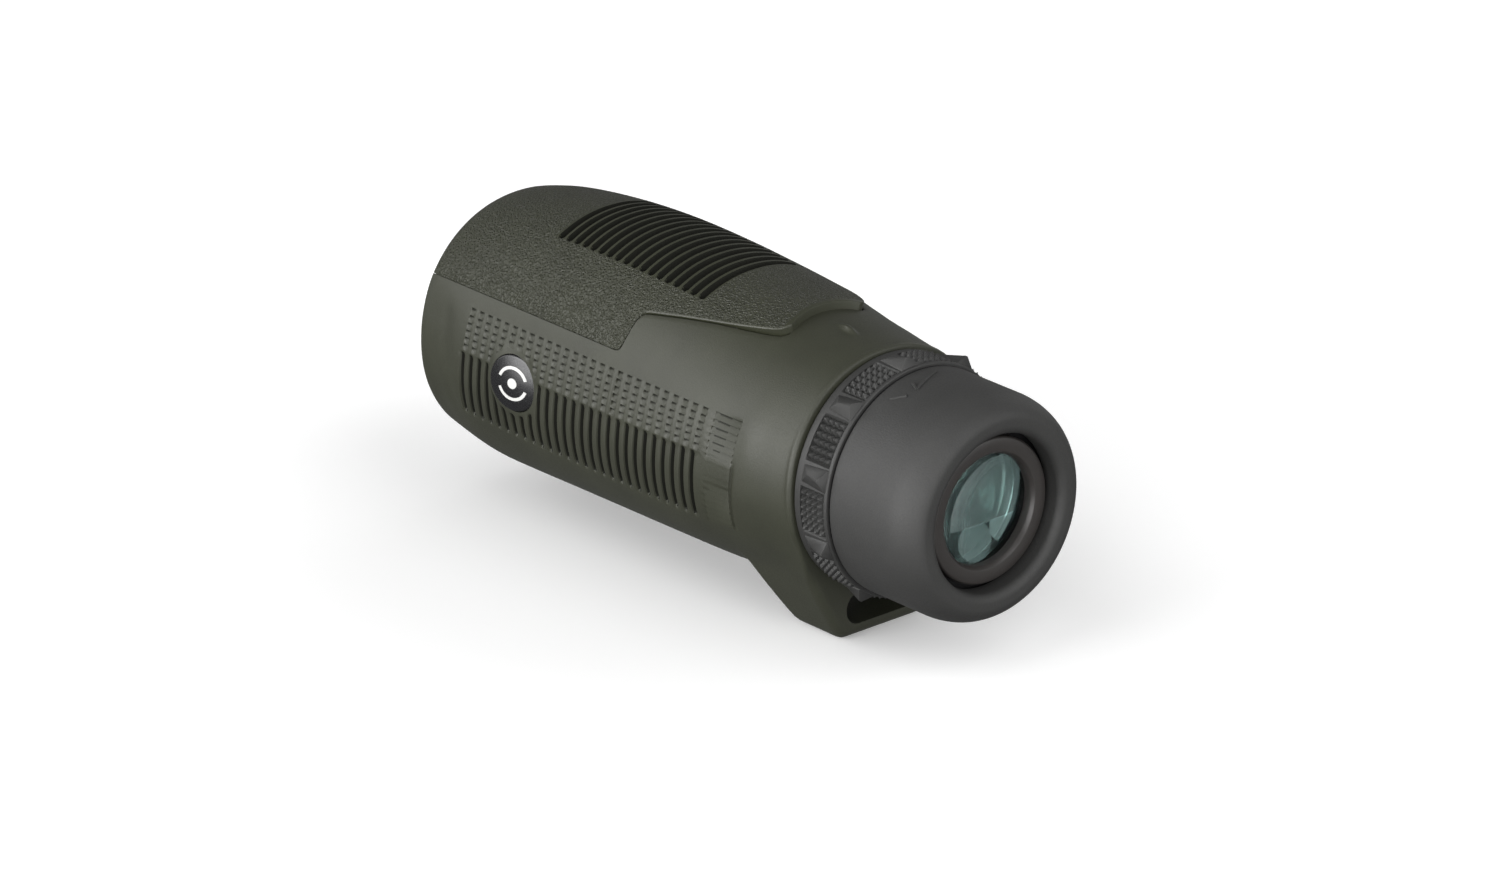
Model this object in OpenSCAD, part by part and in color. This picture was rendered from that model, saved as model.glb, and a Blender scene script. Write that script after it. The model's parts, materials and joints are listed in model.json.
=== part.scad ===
// Roof-prism monocular, 10x36 class.
// The optical axis is the Y axis. The objective looks along +Y and the eyepiece points along -Y.
// The origin is the centre of the objective rim. Sections are given by their depth behind that
// rim, so depth d lies at y = -d. Angles run round the axis from +Z (top), positive towards -X.

/* [Body] */
// Height of the body above the optical axis, at its highest station
body_top = 27.2; // [26.8:0.1:27.6]
// Half of the body's width at its widest station
body_side = 24.6; // [24.4:0.1:25]
// Depth of the body's rear edge
body_len = 95.7; // [95.6:0.1:95.8]
// Depth of the grip ribs on the top panel
rib_depth = 1.0; // [0.4:0.1:1.2]
// Number of grip ribs on the top panel
rib_count = 18; // [8:1:18]

/* [Strap lug] */
// Distance of the lug's flat foot below the optical axis
lug_foot = 29.4; // [29:0.1:30]
// Half of the width of the strap slot
slot_half = 8.4; // [7:0.1:8.6]

/* [Focus] */
// Turn of the focus ring from infinity to close focus, in degrees
focus_turn = 270; // [180:10:300]
// Travel of the eyepiece over the whole focus turn
focus_travel = 3.0; // [2:0.1:3.2]
// Number of raised tabs round the focus ring
tab_count = 10; // [3:1:12]

/* [Eyecup] */
// Turn of the eyecup from fully in to fully out, in degrees
eyecup_turn = 100; // [80:5:102]
// Travel of the eyecup over that turn
eyecup_travel = 6.5; // [4:0.5:6.5]
// Outer radius of the rubber eyecup
eyecup_r = 20.0; // [19.8:0.1:20.2]

/* [Optics] */
// Clear radius of the objective
objective_r = 18.0; // [17:0.1:18.2]
// Side of the square beam that the prisms pass
prism_a = 16; // [14:0.5:16]
// Clear radius of the eye lens
eye_lens_r = 9.7; // [9:0.1:10]

/* [Hidden] */

$fn = 96;
fit = 0.05;           // running clearance on a radius
skin_gap = 0.15;      // clearance between the armour and the chassis

// ---------- body surface ----------
section_power = 2.1;
front_r = 22.6;       // armour radius at the objective rim
rear_r = 21.1;        // armour radius at the body's rear edge
top_line = [[0, front_r], [3, 23.5], [8, 24.7], [16, 25.9], [26, body_top - 0.35], [36, body_top],
            [48, body_top - 0.3], [60, body_top - 1.1], [72, body_top - 2.1], [80, body_top - 2.9],
            [body_len, body_top - 4.9]];
side_line = [[0, front_r], [3, 23.3], [8, 24.0], [16, body_side - 0.2], [36, body_side],
             [60, body_side - 0.2], [72, body_side - 0.7], [80, body_side - 1.4], [88, 22.2],
             [body_len, rear_r]];
bottom_line = [[0, front_r - 0.4], [3, 23.1], [7, 23.9], [15, 23.7], [36, 23.4], [60, 23.2],
               [74, 23.1], [82, 22.5], [88, 22.0], [body_len, rear_r]];
neck_line = [[0, 23.2], [79, 23.2], [84, 22.5], [88, 22.0], [body_len, rear_r]];

function seg(t, x, i = 0) = (i >= len(t) - 2 || x <= t[i + 1][0]) ? i : seg(t, x, i + 1);
function slope(t, i) = let (a = max(i - 1, 0), b = min(i + 1, len(t) - 1))
    (t[b][1] - t[a][1]) / (t[b][0] - t[a][0]);
// Smooth curve through the stations of a line
function curve(t, x) = let (i = seg(t, x), h = t[i + 1][0] - t[i][0], s = (x - t[i][0]) / h)
    t[i][1] * (1 + 2 * s) * pow(1 - s, 2) + t[i + 1][1] * s * s * (3 - 2 * s)
    + slope(t, i) * h * s * pow(1 - s, 2) - slope(t, i + 1) * h * s * s * (1 - s);
// Radius of a rounded section with half-width w and half-height v
function round_r(a, w, v) = pow(pow(abs(sin(a)) / w, section_power)
                                + pow(abs(cos(a)) / v, section_power), -1 / section_power);
function body_r(d, a) = round_r(a, curve(side_line, d),
                                cos(a) >= 0 ? curve(top_line, d) : curve(bottom_line, d));
// Shallow valley behind the front bumper, deepest underneath
function fade(x, lo, hi) = let (t = min(1, max(0, (x - lo) / (hi - lo)))) t * t * (3 - 2 * t);
function valley(d, a) = 1.2 * exp(-pow((d - 5) / 4, 2)) * fade(a, 60, 75)
    * (0.35 + 0.65 * fade(a, 95, 135));
// The neck and the sides lie below the top panel's own line
function armor_r(d, a) = round_r(a, curve(side_line, d),
    cos(a) < 0 ? curve(bottom_line, d) : d < 79 ? curve(top_line, d) : curve(neck_line, d))
    - valley(d, a);

// ---------- chassis ----------
tube_flange_r = 20.6;
chassis_front = 14.5;
chassis_mid_end = 72;
chassis_side = 21.9;
chassis_top = 23.0;
chassis_bottom = 21.2;
cone_r = 21.0;
neck_r = 19.4;
neck_d = 84;
barrel_d = 95.85;     // shoulder that the focus ring turns against
barrel_r = 17.55;
barrel_end = 104.3;
main_bore_r = 19.7;
wall_d = 79.1;        // front of the wall that carries the prism cage
ocular_bore_r = 15.5;

function chassis_r(d, a) =
    d <= 12 ? tube_flange_r
    : d <= 14 ? tube_flange_r + (mid_r(a) - tube_flange_r) * (d - 12) / 2
    : d <= chassis_mid_end ? mid_r(a)
    : d <= 74 ? mid_r(a) + (cone_at(74) - mid_r(a)) * (d - chassis_mid_end) / 2
    : cone_at(d);
function mid_r(a) = round_r(a, chassis_side, cos(a) >= 0 ? chassis_top : chassis_bottom);
function cone_at(d) = d >= neck_d ? neck_r
    : neck_r + (cone_r - neck_r) * (neck_d - d) / (neck_d - chassis_mid_end);

// ---------- top panel ----------
panel_base = 1.2;     // thickness of the side armour's skin under the top panel
panel_end = 79.7;
seam_half = 0.15;     // half of the seam's width
rib_first = 25.17;
rib_pitch = 2.13;
rib_angle = 25;
// Angle of the seam from the top, at each depth
function seam_a(d) = d <= 52 ? 58
    : d <= 53 ? 58 - 15 * (d - 52)
    : d <= 80 ? 43 - 19 * pow((d - 53) / 27, 0.85)
    : 24;
function deg(len_mm, r) = len_mm / r * 180 / PI;

// ---------- helpers ----------
// A turned solid: points are [radius, depth]
module lathe(points) rotate([90, 0, 0]) rotate_extrude() polygon(points);
module ring(r_in, r_out, d0, d1) lathe([[r_in, d0], [r_out, d0], [r_out, d1], [r_in, d1]]);
// A rod along the axis at angle a and radius r
module rod(a, r, rad, d0, d1) rotate([0, -a, 0]) translate([0, -d0, r]) rotate([90, 0, 0])
    cylinder(r = rad, h = d1 - d0, $fn = 32);
// A radial peg at depth d and angle a
module peg(a, d, rad, r0, r1) rotate([0, -a, 0]) translate([0, -d, r0])
    cylinder(r = rad, h = r1 - r0, $fn = 32);
module oring(r, rad, d) rotate([90, 0, 0]) translate([0, 0, d]) rotate_extrude()
    translate([r, 0]) circle(r = rad, $fn = 32);

// A lens: r is its radius, the two faces cross the axis at d0 and d1, and bulge by s0 and s1
function sphere_r(r, s) = (r * r + s * s) / (2 * abs(s));
module ball(r, s, d) translate([0, -d - (s > 0 ? 1 : -1) * sphere_r(r, s), 0])
    sphere(r = sphere_r(r, s), $fn = 300);
module lens(r, d0, s0, d1, s1) difference() {
    intersection() {
        rotate([90, 0, 0]) translate([0, 0, min(d0, d0 + s0) - 1])
            cylinder(r = r, h = max(d1, d1 - s1) - min(d0, d0 + s0) + 2);
        if (s0 > 0) ball(r, s0, d0);
        if (s1 > 0) ball(r, -s1, d1);
        if (s0 < 0) translate([0, -(d0 + s0) - 50, 0]) cube([60, 100, 60], center = true);
        if (s1 < 0) translate([0, -(d1 - s1) + 50, 0]) cube([60, 100, 60], center = true);
    }
    if (s0 < 0) ball(r, s0, d0);
    if (s1 < 0) ball(r, -s1, d1);
}

// A closed skin round the axis. pts[i][j] is point j of the loop in column i.
module skin(cols, closed) {
    n = len(cols);
    m = len(cols[0]);
    last = closed ? n - 1 : n - 2;
    pts = [for (c = cols, p = c) p];
    quads = [for (i = [0 : last], j = [0 : m - 1])
        let (a = i * m + j, b = i * m + (j + 1) % m,
             c = ((i + 1) % n) * m + (j + 1) % m, e = ((i + 1) % n) * m + j)
        each [[a, b, c], [a, c, e]]];
    half = m / 2;
    caps = closed ? [] : [for (k = [0, n - 1], j = [0 : half - 2])
        let (a = k * m + j, b = k * m + j + 1, c = k * m + m - 2 - j, e = k * m + m - 1 - j)
        each (k == 0 ? [[a, e, c], [a, c, b]] : [[a, c, e], [a, b, c]])];
    polyhedron(points = pts, faces = concat(quads, caps), convexity = 8);
}
function at(r, d, a) = [-r * sin(a), -d, r * cos(a)];

module chassis_mid() {
    n = 72;
    rotate([90, 0, 0]) translate([0, 0, chassis_front])
        linear_extrude(height = chassis_mid_end - chassis_front)
            polygon([for (i = [0 : n - 1]) let (a = i * 360 / n)
                [-mid_r(a) * sin(a), mid_r(a) * cos(a)]]);
}

// ---------- housing ----------
screw_r = 17.3;
screw_angles = [66, 114, 246, 294];
circlip_d = 103.35;
pin_d = 99.0;         // depth of the focus drive pin at rest
pin_r = 0.8;
purge_d = 50;

module chassis() color([0.16, 0.16, 0.17]) difference() {
    union() {
        chassis_mid();
        lathe([[5, chassis_mid_end - 2], [cone_r, chassis_mid_end - 2], [cone_r, chassis_mid_end],
               [neck_r, neck_d], [neck_r, barrel_d], [barrel_r, barrel_d],
               [barrel_r, barrel_end], [5, barrel_end]]);
    }
    rotate([90, 0, 0]) translate([0, 0, chassis_front - 1])
        cylinder(r = main_bore_r, h = wall_d - chassis_front + 1);
    rotate([90, 0, 0]) cylinder(r = ocular_bore_r, h = barrel_end + 1);
    // Groove for the clip that holds the focus ring
    ring(barrel_r - 0.6, barrel_r + 1, circlip_d, circlip_d + 0.65);
    // Groove for the focus ring's seal
    ring(barrel_r - 0.7, barrel_r + 1, 96.5, 97.6);
    // Straight slot that the drive pin slides in
    for (s = [0 : 0.5 : focus_travel])
        peg(0, pin_d + s, pin_r + fit, ocular_bore_r - 1, barrel_r + 1);
    for (a = screw_angles) rod(a, screw_r, 0.8, wall_d - 1, 83);
    peg(180, purge_d, 1.3, main_bore_r - 1, chassis_bottom + 2);
    peg(180, purge_d, 2.3, 20.75, chassis_bottom + 2);
}

module objective_tube() color([0.12, 0.12, 0.13])
    lathe([[18.85, 2.1], [tube_flange_r, 2.1], [tube_flange_r, 14.4], [19.6, 14.4], [19.6, 47],
           [18.4, 47], [18.4, 16.2], [objective_r - 0.1, 16.2], [objective_r - 0.1, 14.9],
           [18.85, 14.9]]);

// Rows of the armour, from the rim to the rear edge
outer_rows = [0, 0.35, 1.2, 3, 5, 7, 9.5, 12.5, 16, 20, 24.5, 29, 34, 39, 44, 48, 51.9, 53.1,
              57, 61.5, 66, 70, 74, 77, 79.85, 80.1, 82.5, 85.5, 89, 92.5, 95.2, body_len];
inner_rows = [12, 14, 25, 40, 45, 50, 55, 60, 64, 68, 71.9, 74.2, 79, 84.3];
armor_lip_r = 19.9;
top_cols = 7;
side_cols = 18;

function edge_round(d) = d < 0.2 ? -0.55 : d < 0.8 ? -0.15 : d > body_len - 0.2 ? -0.3 : 0;
function col_a(i, d) = i <= top_cols ? (seam_a(d) + deg(seam_half, 25)) * i / top_cols
    : let (s = seam_a(d) + deg(seam_half, 25) + 0.15)
        s + (180 - s) * (i - top_cols - 1) / (side_cols - 1);
// The inner face keeps clear of the seam's sharp turns, so that its panels don't cut the chassis
function inner_seam(d) = 58 - 34 * min(1, max(0, (d - 40) / 44));
function inner_a(i, d) = i <= top_cols ? inner_seam(d) * i / top_cols
    : inner_seam(d) + 0.5 + (179.5 - inner_seam(d)) * (i - top_cols - 1) / (side_cols - 1);
function recess_r(d, a) = chassis_r(d, a) + skin_gap + panel_base;
function side_point(i, d, sgn) = let (a = col_a(i, d),
    r = i <= top_cols && d < 80 ? recess_r(d, a) : armor_r(d, a) + edge_round(d))
    at(r, d, sgn * a);
function side_loop(i, sgn) = concat(
    [for (d = outer_rows) side_point(i, d, sgn)],
    [at(neck_r + skin_gap, body_len, sgn * inner_a(i, body_len))],
    [for (k = [len(inner_rows) - 1 : -1 : 0]) let (d = inner_rows[k], a = inner_a(i, d))
        at(chassis_r(d, a) + skin_gap, d, sgn * a)],
    [for (q = [[tube_flange_r + skin_gap, 2.0], [armor_lip_r - 0.2, 1.9], [armor_lip_r - 0.2, 0]])
        at(q[0], q[1], sgn * inner_a(i, q[1]))]);
n_half = top_cols + side_cols;
side_columns = concat([for (i = [0 : n_half]) side_loop(i, 1)],
                      [for (i = [n_half - 1 : -1 : 1]) side_loop(i, -1)]);

slot_top = 21.2;
slot_floor = 27.0;
slot_round = 2.8;
lug_half = 8.9;
lug_end = body_len - 0.1;
lug_round = 1.6;
lug_waist = [[11.8, -25.05], [15.5, -18.3], [17.3, -14.6], [17.6, -12.3]];
badge_d = 28;
badge_a = 87.5;
badge_r = 5.1;
badge_tilt = 12.5;    // the badge's face leans towards the eyepiece
badge_floor = 22.9;
badge_face = 24.6;    // radius of the middle of its face
badge_dome_r = 30;

// Lug outline seen along the axis
module lug_front() {
    hull() {
        for (s = [-1, 1]) translate([s * (lug_half - lug_round), -lug_foot + lug_round])
            circle(r = lug_round, $fn = 32);
        for (s = [-1, 1]) polygon([for (p = concat(lug_waist, [[0, -12.3]])) [s * p[0], p[1]]]);
    }
}
// Lug outline seen from the side: depth against height
module lug_side() polygon([[77, -12], [77, -lug_foot], [95, -lug_foot],
                           [lug_end, -lug_foot + 0.6], [lug_end, -12]]);
// Extrudes an outline drawn as depth against height, across the object
module across(w) rotate([90, 0, -90]) linear_extrude(height = w, center = true) children();
module along(d0, d1) rotate([90, 0, 0]) translate([0, 0, d0])
    linear_extrude(height = d1 - d0) children();

lug_root_r = 20.4;    // the lug's root ends inside the wall of the armour
module lug() difference() {
    intersection() {
        along(74, 97) lug_front();
        across(40) lug_side();
        lathe([[0, 77], [22.6, 77], [25.0, 79.6], [27.4, 81.6], [31.0, 84.4], [34, 86], [34, 96],
               [0, 96]]);
    }
    rotate([90, 0, 0]) translate([0, 0, 74])
        cylinder(r1 = cone_r + 0.9, r2 = lug_root_r, h = 12.1);
    rotate([90, 0, 0]) translate([0, 0, 86]) cylinder(r = lug_root_r, h = 12);
}
// Strap slot: open at the rear face and on the ramp in front of the foot
module strap_slot() along(77, 98) hull() {
    for (s = [-1, 1], v = [-slot_floor + slot_round, -slot_top - slot_round])
        translate([s * (slot_half - slot_round), v]) circle(r = slot_round, $fn = 32);
}

module side_armor() color([0.24, 0.25, 0.21]) difference() {
    union() {
        skin(side_columns, true);
        lug();
    }
    strap_slot();
    // Bore of the rim, for a push-in cap
    rotate([90, 0, 0]) translate([0, 0, -1]) cylinder(r = armor_lip_r, h = 4);
    peg(badge_a, badge_d, badge_r + 0.15, badge_floor, 30);
}

// Rows of the top panel; each rib takes two
rib_rows = [for (k = [0 : 2 * rib_count]) rib_first + (k - 0.5) * rib_pitch / 2];
panel_rows = concat([0, 0.35, 1.2, 3, 5, 7, 9.5, 12.5, 16, 20, 23.3],
                    [for (d = rib_rows) if (d < 51.9) d], [51.9],
                    [for (d = rib_rows) if (d > 51.9 && d < 53.1) d], [53.1],
                    [for (d = rib_rows) if (d > 53.1) d],
                    [66, 70, 74, 77, 79.2, panel_end]);
// Groove depth: a V between each pair of ribs
function rib_cut(d, a) = abs(a) > rib_angle || d < rib_rows[0] || d > rib_rows[2 * rib_count] ? 0
    : rib_depth * (1 - 2 * abs(((d - rib_rows[0]) / rib_pitch) % 1 - 0.5)) * min(1, (rib_angle - abs(a)) / 3);
function panel_a(u, d) = u * (seam_a(d) - deg(seam_half, 25));
function panel_loop(u) = concat(
    [for (d = panel_rows) let (a = panel_a(u, d))
        at(body_r(d, a) + edge_round(d) - rib_cut(d, a) - (d > panel_end - 0.1 ? 0.3 : 0), d, a)],
    [for (k = [len(panel_rows) - 1 : -1 : 0]) let (d = panel_rows[k], a = panel_a(u, d))
        at(recess_r(d, a) + skin_gap, d, a)]);
module top_armor() color([0.27, 0.28, 0.24])
    skin([for (i = [-top_cols : top_cols]) panel_loop(i / top_cols)], false);

module badge() color([0.05, 0.05, 0.05]) intersection() {
    peg(badge_a, badge_d, badge_r, badge_floor + 0.05, 28);
    rotate([0, -badge_a, 0]) translate([0, -badge_d, badge_face]) rotate([badge_tilt, 0, 0])
        translate([0, 0, 0.3 - badge_dome_r]) sphere(r = badge_dome_r, $fn = 300);
}

// ---------- objective ----------
lens_r = 18.75;
module objective_crown() color([0.75, 0.85, 0.85, 0.4]) lens(lens_r, 6.2, 2.2, 12.6, 2.0);
module objective_flint() color([0.7, 0.82, 0.84, 0.4]) lens(lens_r, 12.6, -2.0, 15.2, 0.3);
module objective_oring() color([0.03, 0.03, 0.03]) oring(18.4, 0.4, 7.75);
module objective_lock_ring() color([0.08, 0.08, 0.08])
    lathe([[objective_r + 0.05, 5.2], [18.2, 4.9], [18.8, 4.9], [18.8, 7.3], [18.05, 7.3]]);

module light_baffle() color([0.06, 0.06, 0.06]) lathe(concat(
    [[18.35, 17], [18.35, 46.5], [14.2, 46.5], [14.2, 46.0], [17.5, 45.6]],
    [for (k = [3 : -1 : 0]) let (d = 18.5 + 7 * k, r = 16.9 - 0.6 * k)
        each [[17.5, d + 0.9], [r, d + 0.5], [r, d + 0.2], [17.5, d]]],
    [[17.5, 17]]));

// ---------- prisms ----------
prism_d = 54.8;       // depth of the first prism's front face
cage_gap = 0.25;
slant = tan(22.5);
half_a = prism_a / 2;
exit_u = prism_a * 1.24;
module half_penta_prism() color([0.8, 0.9, 0.9, 0.4]) across(prism_a) translate([prism_d, 0])
    polygon([[0, half_a], [0, -half_a], [prism_a * 1.025, -half_a - slant * prism_a * 1.025],
             [prism_a * 1.225, half_a - prism_a * 1.225]]);
module roof_prism() color([0.8, 0.9, 0.9, 0.4]) intersection() {
    across(prism_a) translate([prism_d, 0])
        polygon([[0.3, half_a - 0.1], [exit_u, half_a + 0.2 - exit_u], [exit_u, prism_a * 1.08],
                 [0.3, half_a + 0.6 + 0.3 * slant]]);
    // The roof: two faces at a right angle whose edge climbs towards the eyepiece
    translate([0, -prism_d, half_a + 0.5]) rotate([-22.5, 0, 0]) rotate([0, -45, 0])
        translate([-20, 0, -20]) cube([40, 80, 40], center = true);
}

module prism_cage() color([0.2, 0.2, 0.2]) difference() {
    rotate([90, 0, 0]) translate([0, 0, 52]) cylinder(r = 19.6, h = 27);
    translate([-half_a - cage_gap, -75.2, -20]) cube([prism_a + 2 * cage_gap, 20.7, 40]);
    rotate([90, 0, 0]) translate([0, 0, 51]) cylinder(r = half_a + 1, h = 5);
    rotate([90, 0, 0]) translate([0, 0, 74]) cylinder(r = half_a + 0.8, h = 6);
    for (s = [90, 270]) rod(s, 13.6, 3.6, 51, 80);
    for (a = screw_angles) {
        rod(a, screw_r, 0.85, 51, 80);
        rod(a, screw_r, 1.5, 51, 76.5);
    }
}
module prism_spring() color([0.75, 0.62, 0.3]) along(68, 72)
    polygon([[-8.1, -18.0], [-7.6, -18.0], [-4, -15.3], [4, -15.3], [7.6, -18.0], [8.1, -18.0],
             [8.1, -17.7], [7.7, -17.7], [4.1, -15.0], [-4.1, -15.0], [-7.7, -17.7], [-8.1, -17.7]]);
module prism_screws() color([0.6, 0.6, 0.6]) for (a = screw_angles) {
    rod(a, screw_r, 0.78, 76, 82.8);
    difference() {
        rod(a, screw_r, 1.4, 75.3, 76.45);
        rotate([0, -a, 0]) translate([0, -75.3, screw_r]) cube([0.4, 1, 2.2], center = true);
    }
}
module prism_pads() color([0.5, 0.35, 0.2]) for (s = [-1, 1]) {
    translate([s * (half_a + cage_gap / 2), -62, -5]) cube([0.2, 4, 4], center = true);
    translate([s * (half_a + cage_gap / 2), -68, 4]) cube([0.2, 4, 4], center = true);
}
module purge_screw() color([0.6, 0.6, 0.6]) {
    peg(180, purge_d, 1.25, 19.8, 20.9);
    difference() {
        peg(180, purge_d, 2.2, 20.8, 21.15);
        rotate([0, 180, 0]) translate([0, -purge_d, 21.15]) cube([0.5, 3, 0.4], center = true);
    }
}

// ---------- focus ring ----------
core_front = 96.15;
core_back = 103.9;
core_r = 19.9;
grip_r = 20.6;
tab_phase = 4;         // angle of the first tab from the top
knurl_r = 21.0;
tab_r = 22.35;
module thrust_washer() color([0.85, 0.85, 0.8]) ring(17.65, 19.3, 95.87, 96.12);
module focus_oring() color([0.03, 0.03, 0.03]) oring(17.22, 0.34, 97.05);
module focus_circlip() color([0.7, 0.7, 0.7]) difference() {
    ring(17.0, 18.5, circlip_d + 0.05, circlip_d + 0.6);
    translate([0, -circlip_d, -17.8]) cube([5, 3, 3], center = true);
}
// A helical groove cutter between radii r0 and r1: its line starts at (a0, d0) and sweeps by da
// while it rises by dd, and it runs on by `end` degrees past both ends
module helix(r0, r1, h, a0, d0, da, dd, end) {
    n = ceil(da / 5);
    skin([for (i = [0 : n]) let (t = -end + (da + 2 * end) * i / n, a = a0 + t, d = d0 + dd * t / da)
        [at(r0, d - h, a), at(r1, d - h, a), at(r1, d + h, a), at(r0, d + h, a)]], false);
}
module focus_ring_core() color([0.15, 0.15, 0.15]) difference() {
    lathe([[barrel_r + fit, core_front], [core_r, core_front], [core_r, core_back],
           [18.8, core_back], [18.8, 103.2], [barrel_r + fit, 103.2]]);
    helix(barrel_r - 1, 18.85, pin_r + 0.09, -focus_turn, pin_d + focus_travel,
          focus_turn, -focus_travel, deg(pin_r + 0.1, 18));
}
module tab(a) {
    w = deg(2.0, grip_r);
    p = [at(20.2, 97.1, a - w), at(20.2, 97.1, a + w), at(20.2, 103.6, a + w),
         at(20.2, 103.6, a - w), at(20.9, 99.4, a), at(tab_r, 103.0, a)];
    polyhedron(points = p, faces = [[0, 1, 2], [0, 2, 3], [0, 4, 1], [1, 4, 5], [1, 5, 2],
                                    [2, 5, 3], [3, 5, 4], [3, 4, 0]]);
}
module focus_ring_grip() color([0.2, 0.2, 0.2]) {
    lathe([[core_r + 0.02, 95.95], [grip_r - 0.3, 95.95], [grip_r, 96.25], [grip_r, 97.5],
           [knurl_r, 97.8], [knurl_r, 102.7], [grip_r, 103.0], [grip_r, 103.6],
           [grip_r - 0.3, 103.88], [core_r + 0.02, 103.88]]);
    for (i = [0 : tab_count - 1]) tab(tab_phase + i * 360 / tab_count);
}

// ---------- eyepiece ----------
ocular_front = 86.5;
eye_barrel_r = 17.0;
eye_barrel_d = 104.6;
eye_barrel_end = 118.5;
nose_r = 12.9;
eye_bore_r = 12.2;
glass_r = 12.1;
cup_pin_d = 110.3;
cup_pin_r = 1.0;
cup_starts = [20, 140, 260];
key_w = 1.6;
groove_floor = 16.1;
module ocular_tube() color([0.1, 0.1, 0.1]) difference() {
    lathe([[9.2, ocular_front], [ocular_bore_r - fit, ocular_front],
           [ocular_bore_r - fit, eye_barrel_d], [eye_barrel_r, eye_barrel_d],
           [eye_barrel_r, eye_barrel_end], [nose_r, eye_barrel_end], [nose_r, 119.4],
           [eye_bore_r, 119.4], [eye_bore_r, 89.8], [9.2, 89.0]]);
    ring(14.7, ocular_bore_r + 1, 92.4, 93.6);
    peg(0, pin_d, pin_r, eye_bore_r - 1, ocular_bore_r + 1);
    for (a = cup_starts) {
        helix(groove_floor, eye_barrel_r + 1, cup_pin_r + 0.12, a, cup_pin_d,
              eyecup_turn, eyecup_travel, deg(cup_pin_r + 0.1, 17));
        rotate([0, -a - 110, 0]) translate([-key_w / 2 - 0.08, -115.7, groove_floor])
            cube([key_w + 0.16, 115.7 - eye_barrel_d + 1, 3]);
    }
}
module ocular_oring() color([0.03, 0.03, 0.03]) oring(15.06, 0.34, 93);
module focus_drive_pin() color([0.7, 0.7, 0.72]) peg(0, pin_d, pin_r - 0.01, 12.3, 18.6);
module field_stop() color([0.06, 0.06, 0.06]) ring(8.5, 12.15, 89.85, 90.6);
module spacer_front() color([0.1, 0.1, 0.1]) ring(10.8, 12.15, 90.65, 96.72);
module field_lens() color([0.75, 0.85, 0.85, 0.4]) lens(glass_r, 95.9, 1.1, 101.2, 1.6);
module spacer_middle() color([0.1, 0.1, 0.1]) ring(10.8, 12.15, 99.98, 102.32);
module eyepiece_crown() color([0.75, 0.85, 0.85, 0.4]) lens(glass_r, 101.5, 1.1, 107.8, 2.2);
module eyepiece_flint() color([0.7, 0.82, 0.84, 0.4]) lens(glass_r, 107.8, -2.2, 109.4, -0.8);
module spacer_rear() color([0.1, 0.1, 0.1]) ring(10.8, 12.15, 110.22, 113.98);
module eye_lens() color([0.6, 0.8, 0.78, 0.4]) lens(glass_r, 113.0, 1.3, 119.6, 1.5);
module eyepiece_ring() color([0.22, 0.2, 0.19])
    lathe([[10.6, 118.52], [12.15, 118.17], [12.15, 119.45], [nose_r, 119.45], [nose_r, 121.1],
           [12.5, 121.5], [10.3, 121.5], [eye_lens_r, 120.9], [eye_lens_r, 119.5], [10.6, 119.1]]);

// ---------- eyecup ----------
cup_front = 104.3;
cup_back = 124;
sleeve_r = 18.9;
pocket_r = 18.3;
cup_mouth_r = 13.9;
function arc(cr, cd, a, b, t0, t1, n) = [for (i = [0 : n]) let (t = t0 + (t1 - t0) * i / n)
    [cr + a * cos(t), cd + b * sin(t)]];
module eyecup_slider() color([0.75, 0.75, 0.7]) {
    ring(eye_barrel_r + fit, pocket_r - fit, 105.5, 108.8);
    for (a = cup_starts) rotate([0, -a - 110, 0]) translate([-key_w / 2, -108.4, groove_floor + 0.15])
        cube([key_w, 2.6, 1.2]);
}
module eyecup_sleeve() color([0.12, 0.12, 0.12]) difference() {
    lathe([[18.65, 104.7], [sleeve_r, 104.7], [sleeve_r, 119.8], [15.2, 119.8], [15.2, 118.8],
           [17.5, 118.8], [17.5, 113], [eye_barrel_r + fit, 113], [eye_barrel_r + fit, 109],
           [pocket_r, 109], [pocket_r, 105.4], [18.65, 105.4]]);
    for (a = cup_starts) peg(a, cup_pin_d, cup_pin_r - 0.02, 16, 20);
}
module eyecup_pins() color([0.7, 0.7, 0.72]) for (a = cup_starts)
    peg(a, cup_pin_d, cup_pin_r - 0.03, groove_floor + 0.15, 18.75);
module eyecup_clip() color([0.7, 0.7, 0.7]) difference() {
    ring(17.3, 18.6, 104.78, 105.32);
    translate([0, -105, 17.9]) cube([4, 3, 3], center = true);
}
module eyecup_rubber() color([0.2, 0.2, 0.2]) lathe(concat(
    [[sleeve_r + 0.02, cup_front + 0.1], [eyecup_r - 0.5, cup_front]],
    arc(eyecup_r - 0.5, cup_front + 0.5, 0.5, 0.5, -70, 0, 3),
    arc(eyecup_r - 3.6, cup_back - 6.5, 3.6, 6.5, 0, 90, 12),
    arc(cup_mouth_r + 1.6, cup_back - 1.4, 1.6, 1.4, 90, 180, 6),
    [[cup_mouth_r, 119.9], [sleeve_r + 0.02, 119.9]]));

chassis();
objective_tube();
side_armor();
top_armor();
badge();
objective_crown();
objective_flint();
objective_oring();
objective_lock_ring();
light_baffle();
prism_cage();
roof_prism();
half_penta_prism();
prism_spring();
prism_screws();
prism_pads();
purge_screw();
thrust_washer();
focus_oring();
focus_circlip();
focus_ring_core();
focus_ring_grip();
ocular_tube();
ocular_oring();
focus_drive_pin();
field_stop();
spacer_front();
field_lens();
spacer_middle();
eyepiece_crown();
eyepiece_flint();
spacer_rear();
eye_lens();
eyepiece_ring();
eyecup_slider();
eyecup_sleeve();
eyecup_rubber();
eyecup_pins();
eyecup_clip();
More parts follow.
